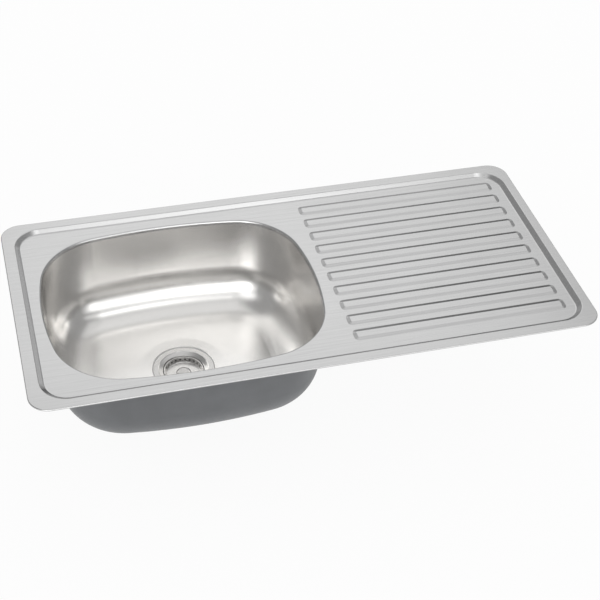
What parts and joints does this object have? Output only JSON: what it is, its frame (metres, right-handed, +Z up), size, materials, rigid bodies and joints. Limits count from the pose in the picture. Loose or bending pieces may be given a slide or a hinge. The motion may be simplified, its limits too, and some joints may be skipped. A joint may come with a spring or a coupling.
{
  "type": "inset kitchen sink with drainer",
  "caption": "Pressed stainless steel inset sink with a single bowl, a ribbed drainer, a basket strainer waste and swing-out fixing clips.",
  "frame": {"origin": "centre of the rim, on the worktop's upper surface", "axes": "+X along the sink from the bowl to the drainer, +Y to the back edge, +Z up"},
  "size_m": [1, 0.5, 0.2733],
  "materials": {
    "pressed_steel": "satin",
    "satin_steel": "satin",
    "waste_steel": "polished",
    "basket_steel": "satin",
    "knob_steel": "satin",
    "galvanised_steel": "satin",
    "clip_rivet_steel": "satin",
    "clip_screw_steel": "satin",
    "black_seal": "matte",
    "basket_rubber": "matte",
    "damping_sheet": "matte",
    "pad_plastic": "matte",
    "waste_plastic": "satin",
    "catch_plastic": "matte",
    "insert_brass": "satin"
  },
  "bodies": {
    "sink": {"sink_deck": "pressed_steel", "sink_bowl": "satin_steel", "rim_seal": "black_seal", "bowl_damping_pads": "damping_sheet", "drainer_damping_pad": "damping_sheet", "drainer_brace_left": "galvanised_steel", "drainer_brace_right": "galvanised_steel", "clip_brackets": "galvanised_steel", "clip_pins": "clip_rivet_steel", "strainer_cup": "waste_steel", "flange_seal": "black_seal", "waste_gasket": "black_seal", "waste_body": "waste_plastic", "waste_insert": "insert_brass", "waste_screw": "waste_steel"},
    "basket": {"strainer_basket": "basket_steel", "basket_seal": "basket_rubber", "basket_knob": "knob_steel", "basket_stem": "basket_steel", "stem_catch": "catch_plastic"},
    "arm_front_left": {"clip_arm_front_left": "galvanised_steel"},
    "pad_front_left": {"clip_pad_front_left": "pad_plastic"},
    "screw_front_left": {"clip_screw_front_left": "clip_screw_steel"},
    "arm_back_left": {"clip_arm_back_left": "galvanised_steel"},
    "pad_back_left": {"clip_pad_back_left": "pad_plastic"},
    "screw_back_left": {"clip_screw_back_left": "clip_screw_steel"},
    "arm_front_middle": {"clip_arm_front_middle": "galvanised_steel"},
    "pad_front_middle": {"clip_pad_front_middle": "pad_plastic"},
    "screw_front_middle": {"clip_screw_front_middle": "clip_screw_steel"},
    "arm_back_middle": {"clip_arm_back_middle": "galvanised_steel"},
    "pad_back_middle": {"clip_pad_back_middle": "pad_plastic"},
    "screw_back_middle": {"clip_screw_back_middle": "clip_screw_steel"},
    "arm_front_right": {"clip_arm_front_right": "galvanised_steel"},
    "pad_front_right": {"clip_pad_front_right": "pad_plastic"},
    "screw_front_right": {"clip_screw_front_right": "clip_screw_steel"},
    "arm_back_right": {"clip_arm_back_right": "galvanised_steel"},
    "pad_back_right": {"clip_pad_back_right": "pad_plastic"},
    "screw_back_right": {"clip_screw_back_right": "clip_screw_steel"}
  },
  "joints": [
    {"name": "basket_lift", "type": "slide", "parent": "sink", "child": "basket", "axis": [0, 0, 1], "range_m": [0, 0.07]},
    {"name": "front_left_clip_swing", "type": "hinge", "parent": "sink", "child": "arm_front_left", "pos_m": [-0.43, -0.21, -0.0145], "axis": [-1, 0, 0], "range_deg": [0, 90]},
    {"name": "front_left_pad_slide", "type": "slide", "parent": "arm_front_left", "child": "pad_front_left", "axis": [0, -1, 0], "range_m": [0, 0.012]},
    {"name": "front_left_screw_turn", "type": "hinge", "parent": "pad_front_left", "child": "screw_front_left", "pos_m": [-0.43, -0.18, -0.0535], "axis": [0, -1, 0], "range_deg": [0, 4320]},
    {"name": "back_left_clip_swing", "type": "hinge", "parent": "sink", "child": "arm_back_left", "pos_m": [-0.43, 0.21, -0.0145], "axis": [1, 0, 0], "range_deg": [0, 90]},
    {"name": "back_left_pad_slide", "type": "slide", "parent": "arm_back_left", "child": "pad_back_left", "axis": [0, 1, 0], "range_m": [0, 0.012]},
    {"name": "back_left_screw_turn", "type": "hinge", "parent": "pad_back_left", "child": "screw_back_left", "pos_m": [-0.43, 0.18, -0.0535], "axis": [0, 1, 0], "range_deg": [0, 4320]},
    {"name": "front_middle_clip_swing", "type": "hinge", "parent": "sink", "child": "arm_front_middle", "pos_m": [0.0755, -0.21, -0.0145], "axis": [-1, 0, 0], "range_deg": [0, 90]},
    {"name": "front_middle_pad_slide", "type": "slide", "parent": "arm_front_middle", "child": "pad_front_middle", "axis": [0, -1, 0], "range_m": [0, 0.012]},
    {"name": "front_middle_screw_turn", "type": "hinge", "parent": "pad_front_middle", "child": "screw_front_middle", "pos_m": [0.0755, -0.18, -0.0535], "axis": [0, -1, 0], "range_deg": [0, 4320]},
    {"name": "back_middle_clip_swing", "type": "hinge", "parent": "sink", "child": "arm_back_middle", "pos_m": [0.0755, 0.21, -0.0145], "axis": [1, 0, 0], "range_deg": [0, 90]},
    {"name": "back_middle_pad_slide", "type": "slide", "parent": "arm_back_middle", "child": "pad_back_middle", "axis": [0, 1, 0], "range_m": [0, 0.012]},
    {"name": "back_middle_screw_turn", "type": "hinge", "parent": "pad_back_middle", "child": "screw_back_middle", "pos_m": [0.0755, 0.18, -0.0535], "axis": [0, 1, 0], "range_deg": [0, 4320]},
    {"name": "front_right_clip_swing", "type": "hinge", "parent": "sink", "child": "arm_front_right", "pos_m": [0.43, -0.21, -0.0145], "axis": [-1, 0, 0], "range_deg": [0, 90]},
    {"name": "front_right_pad_slide", "type": "slide", "parent": "arm_front_right", "child": "pad_front_right", "axis": [0, -1, 0], "range_m": [0, 0.012]},
    {"name": "front_right_screw_turn", "type": "hinge", "parent": "pad_front_right", "child": "screw_front_right", "pos_m": [0.43, -0.18, -0.0535], "axis": [0, -1, 0], "range_deg": [0, 4320]},
    {"name": "back_right_clip_swing", "type": "hinge", "parent": "sink", "child": "arm_back_right", "pos_m": [0.43, 0.21, -0.0145], "axis": [1, 0, 0], "range_deg": [0, 90]},
    {"name": "back_right_pad_slide", "type": "slide", "parent": "arm_back_right", "child": "pad_back_right", "axis": [0, 1, 0], "range_m": [0, 0.012]},
    {"name": "back_right_screw_turn", "type": "hinge", "parent": "pad_back_right", "child": "screw_back_right", "pos_m": [0.43, 0.18, -0.0535], "axis": [0, 1, 0], "range_deg": [0, 4320]}
  ],
  "couplings": [
    {"joint": "front_left_screw_turn", "follows": "front_left_pad_slide", "rad_per_m": 6283},
    {"joint": "back_left_screw_turn", "follows": "back_left_pad_slide", "rad_per_m": 6283},
    {"joint": "front_middle_screw_turn", "follows": "front_middle_pad_slide", "rad_per_m": 6283},
    {"joint": "back_middle_screw_turn", "follows": "back_middle_pad_slide", "rad_per_m": 6283},
    {"joint": "front_right_screw_turn", "follows": "front_right_pad_slide", "rad_per_m": 6283},
    {"joint": "back_right_screw_turn", "follows": "back_right_pad_slide", "rad_per_m": 6283}
  ]
}
